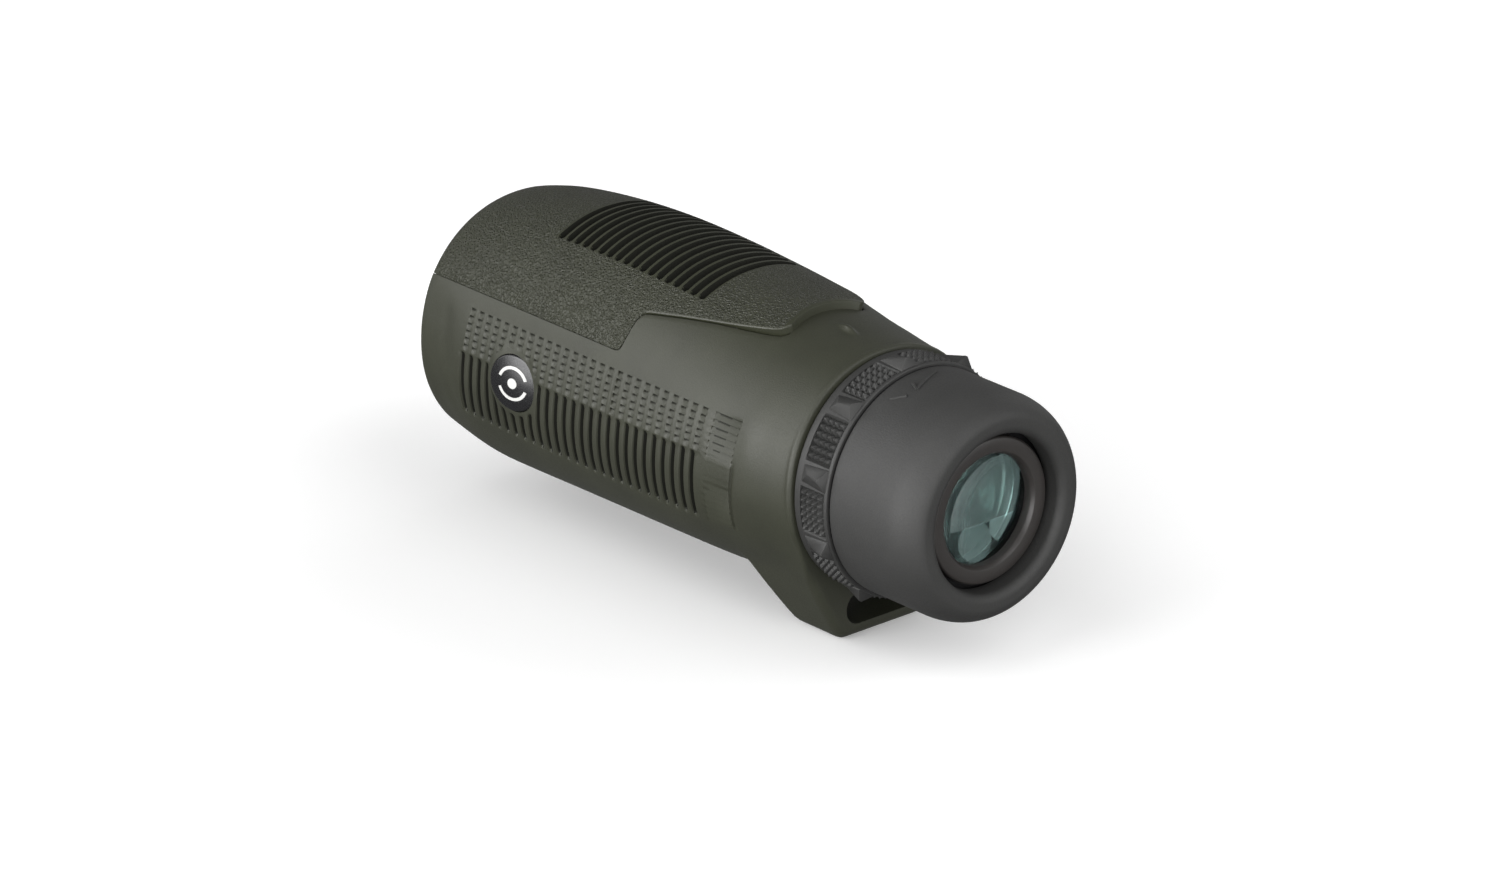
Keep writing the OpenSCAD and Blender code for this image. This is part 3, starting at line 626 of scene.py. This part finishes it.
# ---------- focus ring ----------
GRIP_R, TAB_R, TABS, TAB_PHASE = 20.6, 22.35, 10, 4.0
GRIP_FRONT, GRIP_REAR, GRIP_BORE = 95.95, 103.88, 19.92
TAB_STEP, TAB_HALF = 360 / TABS, 5.7        # angle between tabs, and half the width of one
KNURL_D, KNURL_SPAN, KNURL_ROWS, KNURL_COLS = (97.6, 103.0), 10.8, 4, 6


def make_focus_grip():
    """The rubber of the focus ring: fields of small pyramids between faceted tabs."""
    field = np.linspace(-KNURL_SPAN, KNURL_SPAN, KNURL_COLS * 6 + 1)
    between = np.linspace(KNURL_SPAN, TAB_STEP - KNURL_SPAN, 14)[1:-1]
    a = np.concatenate([TAB_PHASE + (k + 0.5) * TAB_STEP + np.concatenate([field, between])
                        for k in range(TABS)])
    spots = [GRIP_FRONT, 95.97, 96.05, 96.2, 96.5, 96.9, 97.3, 97.45]
    spots += list(np.linspace(KNURL_D[0], KNURL_D[1], KNURL_ROWS * 6 + 1))
    spots += [103.3, 103.5, 103.7, 103.8, 103.86, GRIP_REAR]
    d = np.array(spots)[:, None] + 0 * a[None, :]
    aa = a[None, :] + 0 * d
    off = (aa - TAB_PHASE + TAB_STEP / 2) % TAB_STEP - TAB_STEP / 2   # angle from the nearest tab
    mid = TAB_STEP / 2 - np.abs(off)                # angle from the middle of a knurled field
    u = (d - KNURL_D[0]) / (KNURL_D[1] - KNURL_D[0]) * KNURL_ROWS
    v = (off % TAB_STEP - (TAB_STEP / 2 - KNURL_SPAN)) / (2 * KNURL_SPAN) * KNURL_COLS
    inside = (u > -0.01) & (u < KNURL_ROWS + 0.01) & (mid < KNURL_SPAN + 0.01)
    peak = 1 - 2 * np.maximum(np.abs(u % 1 - 0.5), np.abs(v % 1 - 0.5))
    r = GRIP_R + np.where(inside, -0.5 + 1.2 * np.clip(peak, 0, 0.9), 0)
    r = r - corner(d - GRIP_FRONT, 0.3) - corner(GRIP_REAR - d, 0.3)
    inner = [xyz(GRIP_BORE, x, a) for x in (GRIP_REAR, GRIP_FRONT)]
    points = np.concatenate([xyz(r, d, aa), np.array(inner)])
    obj = grid("focus_grip", points, sharp=28)
    tabs = [make_tab(TAB_PHASE + k * TAB_STEP) for k in range(TABS)]
    combine(obj, tabs, "UNION")
    tidy_mesh(obj.data, 24)
    return obj


def make_tab(a):
    """A faceted finger tab: a ramp that rises to a point over a steep triangular face."""
    w, peak = TAB_HALF, TAB_R - 0.02
    base = [(20.1, 97.3, -w * 0.75), (20.1, 97.3, w * 0.75), (20.1, 103.6, w), (20.1, 103.6, -w)]
    rim = [(20.72, 97.6, -w * 0.7), (20.72, 97.6, w * 0.7), (20.75, 103.4, w * 0.96),
           (20.75, 103.4, -w * 0.96)]
    top = [(21.1, 98.9, 0), (peak, 102.85, -0.8), (peak, 102.85, 0.8)]
    points = [tuple(xyz(r, d, a + b)) for r, d, b in base + rim + top]
    faces = [(0, 1, 2, 3), (0, 4, 5, 1), (1, 5, 6, 2), (2, 6, 7, 3), (3, 7, 4, 0),
             (4, 8, 5), (5, 8, 10, 6), (6, 10, 9, 7), (7, 9, 8, 4), (8, 9, 10)]
    mesh = bpy.data.meshes.new("tab")
    mesh.from_pydata(points, [], faces)
    tidy_mesh(mesh, 20)
    obj = new_object("tab", mesh)
    bevel = obj.modifiers.new("bevel", "BEVEL")
    bevel.width, bevel.segments, bevel.limit_method = 0.09 * MM, 2, "ANGLE"
    bevel.angle_limit = math.radians(20)
    obj.data = bpy.data.meshes.new_from_object(
        obj.evaluated_get(bpy.context.evaluated_depsgraph_get()))
    obj.modifiers.clear()
    return obj


# ---------- eyepiece ----------
CUP_R, CUP_FRONT, CUP_BACK, CUP_BORE, MOUTH_R = 20.0, 104.08, 124.0, 18.92, 13.9
CUP_CORNER = 0.22


def stroke(path, width, height, r):
    """A raised line on a cylinder of radius r, through (depth, angle) points."""
    path = np.array(path, float)
    flat = np.stack([path[:, 0], np.radians(path[:, 1]) * r], 1)
    step = np.gradient(flat, axis=0)
    side = np.stack([-step[:, 1], step[:, 0]], 1) / np.linalg.norm(step, axis=1)[:, None]
    rows = []
    for w, h in ((-1.0, -0.15), (-1.0, 0.4 * height), (-0.6, height), (0.6, height),
                 (1.0, 0.4 * height), (1.0, -0.15)):
        q = flat + side * w * width / 2
        rows.append(xyz(r + h, q[:, 0], np.degrees(q[:, 1] / r)))
    return grid("stroke", np.array(rows).transpose(1, 0, 2), wrap_rows=False, caps=True, sharp=30)


def line(p, q, n=9):
    """Points from p to q, evenly spaced."""
    return np.linspace(np.array(p, float), np.array(q, float), n)


def make_eyecup():
    """The rubber eyecup: straight, with a large round shoulder, and raised marks on its side."""
    profile = [(CUP_BORE, CUP_FRONT + 0.1), (CUP_R - CUP_CORNER, CUP_FRONT)]
    profile += arc(CUP_R - CUP_CORNER, CUP_FRONT + CUP_CORNER, CUP_CORNER, CUP_CORNER, -80, 0, 5)
    profile += [(CUP_R, d) for d in np.linspace(105.5, CUP_BACK - 7.4, 8)]
    profile += arc(CUP_R - 3.6, CUP_BACK - 6.5, 3.6, 6.5, 0, 90, 32)
    profile += arc(MOUTH_R + 1.6, CUP_BACK - 1.4, 1.6, 1.4, 90, 180, 14)
    profile += [(MOUTH_R, 121.2), (MOUTH_R, 119.9), (CUP_BORE, 119.9)]
    cup = turned("eyecup_cover", profile, 288, 35)
    marks = [stroke(line((106.8, 26.9), (109.0, 21.4)), 0.55, 0.34, CUP_R),
             stroke(line((107.2, 12.6), (109.2, 15.2)), 0.5, 0.36, CUP_R),
             stroke(line((109.2, 15.2), (106.6, -3.9), 17), 0.5, 0.3, CUP_R)]
    return join("eyecup_cover", [cup, *marks])


def make_eyepiece_ring():
    """The ring that holds the eye lens, with a chamfer down to the glass."""
    return turned("eyepiece_trim", [
        (10.62, 118.55), (12.13, 118.2), (12.13, 119.47), (12.88, 119.47), (12.88, 121.0),
        (12.82, 121.22), (12.66, 121.4), (12.45, 121.5), (11.4, 121.5), (10.45, 121.5),
        (10.3, 121.46), (10.2, 121.36), (9.82, 120.9), (9.74, 120.7), (9.74, 119.5),
        (10.62, 119.1)], 256, 30)


def make_eye_lens():
    """A biconvex lens, from the centre of one face to the centre of the other."""
    r = 12.05
    rear = [(x, 118.1 + 1.5 * (1 - (x / r) ** 2)) for x in np.linspace(0.002, r, 26)]
    front = [(x, 114.3 - 1.3 * (1 - (x / r) ** 2)) for x in np.linspace(r, 0.002, 14)]
    return turned("eye_lens_glass", rear + front, 192, 30)


# ---------- materials ----------
DRIFT_SIZE = 7          # mm over which a colour drifts
PEBBLE_WARP = 0.0009    # how much noise bends the pebbles out of a regular pattern


def material(name, color, rough, variation=0.08, grain=0.25, grain_depth=0.02, cells=None,
             metallic=0.0, **sockets):
    """A procedural material: colour that drifts a little, uneven gloss and a fine grain.

    grain is the grain's size in mm; cells gives pebbles on top of it, as (size, depth) in mm.
    """
    mat = bpy.data.materials.new(name)
    mat.use_nodes = True
    nodes, links = mat.node_tree.nodes, mat.node_tree.links
    shader = nodes["Principled BSDF"]
    coords = nodes.new("ShaderNodeTexCoord")

    def noise(size_mm, detail, rough_=0.5, distortion=0.0):
        n = nodes.new("ShaderNodeTexNoise")
        n.inputs["Scale"].default_value = 1 / (size_mm * MM)
        n.inputs["Detail"].default_value = detail
        n.inputs["Roughness"].default_value = rough_
        n.inputs["Distortion"].default_value = distortion
        links.new(coords.outputs["Object"], n.inputs["Vector"])
        return n

    def spread(source, low, high):
        m = nodes.new("ShaderNodeMapRange")
        m.inputs["From Min"].default_value, m.inputs["From Max"].default_value = 0.3, 0.7
        m.inputs["To Min"].default_value, m.inputs["To Max"].default_value = low, high
        links.new(source, m.inputs["Value"])
        return m

    drift, fine = noise(DRIFT_SIZE, 3), noise(grain, 2, 0.6)
    ramp = nodes.new("ShaderNodeMix")
    ramp.data_type = "RGBA"
    ramp.inputs["A"].default_value = tuple(c * (1 - variation) for c in color) + (1,)
    ramp.inputs["B"].default_value = tuple(c * (1 + variation) for c in color) + (1,)
    links.new(spread(drift.outputs["Fac"], 0, 1).outputs["Result"], ramp.inputs["Factor"])
    links.new(ramp.outputs["Result"], shader.inputs["Base Color"])
    links.new(spread(fine.outputs["Fac"], rough - 0.05, rough + 0.05).outputs["Result"],
              shader.inputs["Roughness"])
    bump = nodes.new("ShaderNodeBump")
    bump.inputs["Distance"].default_value = grain_depth * MM
    links.new(fine.outputs["Fac"], bump.inputs["Height"])
    if cells:
        size, depth = cells
        warp = noise(size * 0.9, 1)
        shift = nodes.new("ShaderNodeMix")
        shift.data_type = "VECTOR"
        shift.inputs["Factor"].default_value = PEBBLE_WARP
        links.new(coords.outputs["Object"], shift.inputs["A"])
        links.new(warp.outputs["Color"], shift.inputs["B"])
        pebbles = nodes.new("ShaderNodeTexVoronoi")
        pebbles.feature = "DISTANCE_TO_EDGE"
        pebbles.inputs["Scale"].default_value = 1 / (size * MM)
        links.new(shift.outputs["Result"], pebbles.inputs["Vector"])
        edge = nodes.new("ShaderNodeMapRange")
        edge.interpolation_type = "SMOOTHSTEP"
        edge.inputs["From Min"].default_value, edge.inputs["From Max"].default_value = 0.0, 0.3
        links.new(pebbles.outputs["Distance"], edge.inputs["Value"])
        pebble = nodes.new("ShaderNodeBump")
        pebble.inputs["Distance"].default_value = depth * MM
        links.new(edge.outputs["Result"], pebble.inputs["Height"])
        links.new(bump.outputs["Normal"], pebble.inputs["Normal"])
        bump = pebble
    links.new(bump.outputs["Normal"], shader.inputs["Normal"])
    shader.inputs["Metallic"].default_value = metallic
    for socket, value in sockets.items():
        shader.inputs[socket.replace("_", " ")].default_value = value
    return mat


OLIVE = (0.0280, 0.0300, 0.0175)
MATERIALS = {
    "armor_side": material("armor_side", (0.0285, 0.0303, 0.0190), 0.50, grain=0.3,
                           grain_depth=0.03),
    "armor_top": material("armor_top", OLIVE, 0.47, grain=0.3, grain_depth=0.02,
                          cells=(0.75, 0.2)),
    "armor_rib": material("armor_rib", OLIVE, 0.42, grain=0.3, grain_depth=0.015),
    # painted shade: darker, duller copies of the armour for the deep faces of grooves, dashes and
    # teeth
    "groove_painted_shade": material("groove_painted_shade", (0.0115, 0.012, 0.009), 0.75, grain_depth=0.01,
                             Specular_IOR_Level=0.15),
    "pit_painted_shade": material("pit_painted_shade", (0.015, 0.016, 0.0105), 0.6, grain_depth=0.02,
                          Specular_IOR_Level=0.3),
    "grip_rubber": material("grip_rubber", (0.028, 0.028, 0.027), 0.52, grain_depth=0.02),
    "eyecup_rubber": material("eyecup_rubber", (0.030, 0.030, 0.029), 0.6, grain=0.35,
                              grain_depth=0.035),
    "badge": material("badge", (0.010, 0.010, 0.011), 0.26, grain_depth=0.002),
    "badge_mark": material("badge_mark", (0.62, 0.62, 0.60), 0.35, grain_depth=0.004),
    "chassis": material("chassis", (0.03, 0.03, 0.032), 0.5),
    "black_part": material("black_part", (0.012, 0.012, 0.012), 0.55),
    "black_metal": material("black_metal", (0.02, 0.02, 0.021), 0.38, metallic=0.3),
    "ring_brown": material("ring_brown", (0.032, 0.029, 0.0272), 0.40, grain=0.2,
                           grain_depth=0.008),
    "seal": material("seal", (0.01, 0.01, 0.01), 0.45),
    "steel": material("steel", (0.55, 0.55, 0.54), 0.3, metallic=1.0, grain_depth=0.004),
    "bronze": material("bronze", (0.55, 0.38, 0.16), 0.35, metallic=1.0, grain_depth=0.004),
    "slider": material("slider", (0.55, 0.55, 0.52), 0.5, grain_depth=0.006),
    "pad": material("pad", (0.18, 0.09, 0.04), 0.8, grain=0.15, grain_depth=0.03),
}


def glass(name, tint, coating, ior):
    """Clear glass whose reflection has the colour of its coating."""
    mat = material(name, tint, 0.05, 0.02, grain=1.5, grain_depth=0.0)
    shader = mat.node_tree.nodes["Principled BSDF"]
    for link in list(mat.node_tree.links):
        if link.to_socket == shader.inputs["Roughness"]:
            mat.node_tree.links.remove(link)
    shader.inputs["Roughness"].default_value = 0.01
    shader.inputs["Transmission Weight"].default_value = 1.0
    shader.inputs["IOR"].default_value = ior
    shader.inputs["Specular Tint"].default_value = (*coating, 1)
    return mat


MATERIALS["glass"] = glass("glass", (0.86, 0.94, 0.93), (0.7, 1.0, 0.97), 1.75)


def finish_piece(obj, slot, body, *nodes, mat=None):
    """Gives a piece its material and its body, and hides the CAD nodes it stands for."""
    obj.data.materials.clear()
    obj.data.materials.append(MATERIALS[mat or slot])
    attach(obj, body)
    if nodes:
        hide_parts(*nodes)


# ---------- the pieces ----------
side_armor = make_side_armor()
finish_piece(side_armor, "armor_side", "housing", "side_armor")
mark_grip_faces(side_armor)
top_panel = make_top_armor()
finish_piece(top_panel, "armor_top", "housing", "top_armor")
mark_rib_faces(top_panel)
finish_piece(make_badge(), "badge", "housing", "badge")
finish_piece(make_badge_mark(), "badge", "housing", mat="badge_mark")
finish_piece(make_focus_grip(), "grip_rubber", "focus_ring", "focus_ring_grip")
finish_piece(make_eyecup(), "eyecup_rubber", "eyecup", "eyecup_rubber")
finish_piece(make_eyepiece_ring(), "ring_brown", "ocular", "eyepiece_ring")
finish_piece(make_eye_lens(), "glass", "ocular", "eye_lens")

node_slots = {s["node"]: s["material_slot"] for s in frame["record"]["subparts"]
              if "material_slot" in s}
for node, obj in frame["nodes"].items():
    obj.data.materials.clear()
    obj.data.materials.append(MATERIALS[node_slots[node]])

# ---------- floor, light and camera ----------
FLOOR_Z = cad_box[0].z - 0.00002       # just clear of the lug's foot
FLOOR_HALF = 4.0
LIGHT_DISTANCE, LIGHT_SIZE, WORLD_STRENGTH = 1.2, 0.9, 0.2


def make_floor():
    """A pale floor that gives off some light, less in a soft pool round the object: a painted
    shadow.
    """
    mesh = bpy.data.meshes.new("floor")
    corners = [(x * FLOOR_HALF, y * FLOOR_HALF, FLOOR_Z)
               for x, y in ((-1, -1), (1, -1), (1, 1), (-1, 1))]
    mesh.from_pydata(corners, [], [(0, 1, 2, 3)])
    obj = new_object("floor", mesh)
    mat = bpy.data.materials.new("floor")
    mat.use_nodes = True
    shader = mat.node_tree.nodes["Principled BSDF"]
    shader.inputs["Base Color"].default_value = (0.9, 0.9, 0.9, 1)
    shader.inputs["Roughness"].default_value = 0.9
    shader.inputs["Specular IOR Level"].default_value = 0.1
    shader.inputs["Emission Color"].default_value = (1, 1, 1, 1)
    coords = mat.node_tree.nodes.new("ShaderNodeTexCoord")
    place = mat.node_tree.nodes.new("ShaderNodeMapping")
    place.inputs["Location"].default_value = (0.25, 0.32, 0.0)
    place.inputs["Scale"].default_value = (9.0, 7.5, 0.0)
    # painted shadow: the floor's glow falls from 0.34 to 0.12 in a soft pool round the object
    painted_shadow_pool = mat.node_tree.nodes.new("ShaderNodeTexGradient")
    painted_shadow_pool.gradient_type = "SPHERICAL"
    painted_shadow_fade = mat.node_tree.nodes.new("ShaderNodeMapRange")
    painted_shadow_fade.interpolation_type = "SMOOTHSTEP"
    painted_shadow_fade.inputs["From Max"].default_value = 0.8
    painted_shadow_fade.inputs["To Min"].default_value, painted_shadow_fade.inputs["To Max"].default_value = 0.34, 0.12
    for a, b in ((coords.outputs["Object"], place.inputs["Vector"]),
                 (place.outputs["Vector"], painted_shadow_pool.inputs["Vector"]),
                 (painted_shadow_pool.outputs["Fac"], painted_shadow_fade.inputs["Value"]),
                 (painted_shadow_fade.outputs["Result"], shader.inputs["Emission Strength"])):
        mat.node_tree.links.new(a, b)
    obj.visible_diffuse = obj.visible_glossy = False
    mesh.materials.append(mat)


def area_light(name, place, target, size, watts):
    """A white disk light at place, aimed at target."""
    data = bpy.data.lights.new(name, "AREA")
    data.shape, data.size = "DISK", size
    data.energy = watts
    obj = bpy.data.objects.new(name, data)
    bpy.context.scene.collection.objects.link(obj)
    obj.location = place
    obj.rotation_euler = (Vector(target) - Vector(place)).to_track_quat("-Z", "Y").to_euler()


def make_world(strength):
    world = bpy.data.worlds.new("studio")
    bpy.context.scene.world = world
    world.use_nodes = True
    back = world.node_tree.nodes["Background"]
    back.inputs["Color"].default_value = (1, 1, 1, 1)
    back.inputs["Strength"].default_value = strength


def make_camera():
    """The photograph's view: a long lens, from the left and behind, looking down."""
    azimuth, elevation, distance = math.radians(41.337), math.radians(22.27), 1.3
    aim = Vector((-0.0267, -0.0919, 0.0111))
    look = Vector((math.sin(azimuth) * math.cos(elevation), math.cos(azimuth) * math.cos(elevation),
                   -math.sin(elevation)))
    data = bpy.data.cameras.new("camera")
    data.lens, data.sensor_width = 188.9, 36.0
    data.clip_start, data.clip_end = 0.05, 20
    cam = bpy.data.objects.new("camera", data)
    bpy.context.scene.collection.objects.link(cam)
    cam.location = aim - look * distance
    cam.rotation_euler = look.to_track_quat("-Z", "Y").to_euler()
    bpy.context.scene.camera = cam


SOFTBOXES = {                        # direction from the object, and watts
    "left_low": ((-1, 0.15, 0.1), 15.5),
    "left_front_low": ((-0.75, -0.6, 0.06), 10.5),
    "front_low": ((-0.1, -1, 0.04), 5.0),
    "left_back": ((-0.6, 0.7, 0.4), 5.0),
    "top_front": ((0, -0.8, 0.8), 3.8),
    "top_left": ((-0.7, 0, 0.9), 3.4),
    "right_front": ((0.6, -0.9, 0.3), 2.8),
    "right": ((1, 0.2, 0.4), 1.5),
}
make_floor()
make_world(WORLD_STRENGTH)
centre = Vector((0, -0.06, 0))         # middle of the body
for name, (direction, watts) in SOFTBOXES.items():
    place = centre + Vector(direction).normalized() * LIGHT_DISTANCE
    area_light(name, place, centre, LIGHT_SIZE, watts)
make_camera()
bpy.context.scene.view_settings.view_transform = "Standard"
